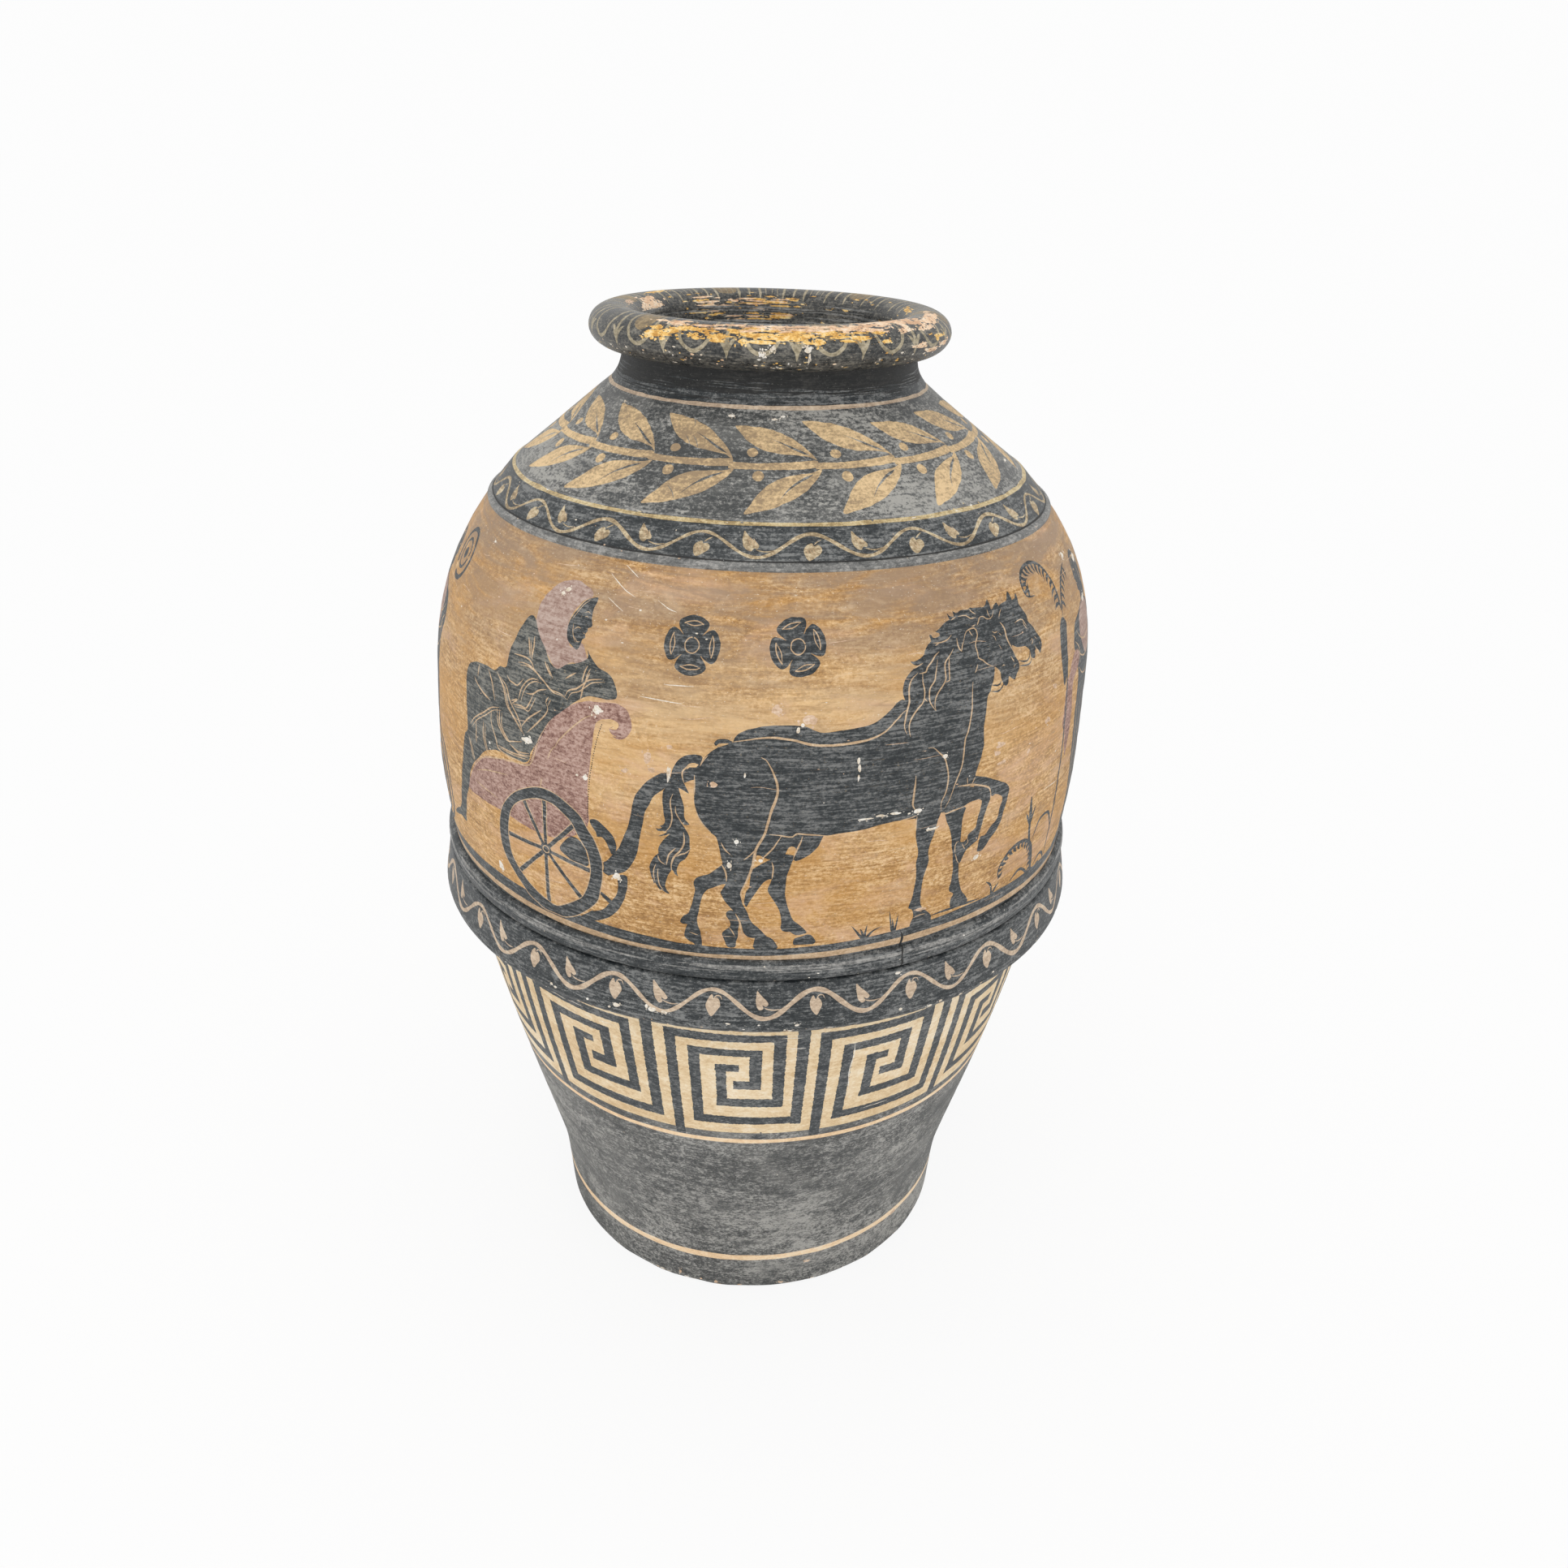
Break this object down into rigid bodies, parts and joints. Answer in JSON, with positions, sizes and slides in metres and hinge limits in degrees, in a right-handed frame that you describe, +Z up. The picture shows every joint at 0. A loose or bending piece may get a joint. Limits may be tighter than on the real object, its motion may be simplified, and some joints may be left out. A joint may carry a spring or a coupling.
{
  "type": "vase",
  "caption": "Tall black-figure floor vase: wide belly, flared collar at mid height, cone shoulder, short neck and thick rolled rim; stands on its flat foot and holds stems or grain.",
  "frame": {"origin": "centre of the flat underside, on the jar's axis", "axes": "+Z up along the jar's axis of revolution, towards the mouth; -Y faces the side with the chariot scene"},
  "size_m": [0.732, 0.732, 1.1],
  "materials": {
    "worn_slip": "matt grey-black slip, rubbed and dusty, over buff clay",
    "meander_ground": "matt black slip with a cream painted square meander",
    "black_slip": "matt black slip with brush marks and tan line work",
    "frieze_ground": "matt ochre clay ground with black, maroon and mauve figures",
    "laurel_ground": "black slip with a tan laurel branch",
    "rim_slip": "black slip worn through to orange, cream and pink clay"
  },
  "bodies": {
    "root": {"base_disc": "worn_slip", "foot_section": "worn_slip", "lower_wall": "meander_ground", "collar_band": "black_slip", "roll_moulding": "black_slip", "lower_belly": "frieze_ground", "upper_belly": "frieze_ground", "ivy_band": "black_slip", "shoulder_cone": "laurel_ground", "neck_ring": "black_slip", "rim_roll": "rim_slip"}
  },
  "joints": []
}
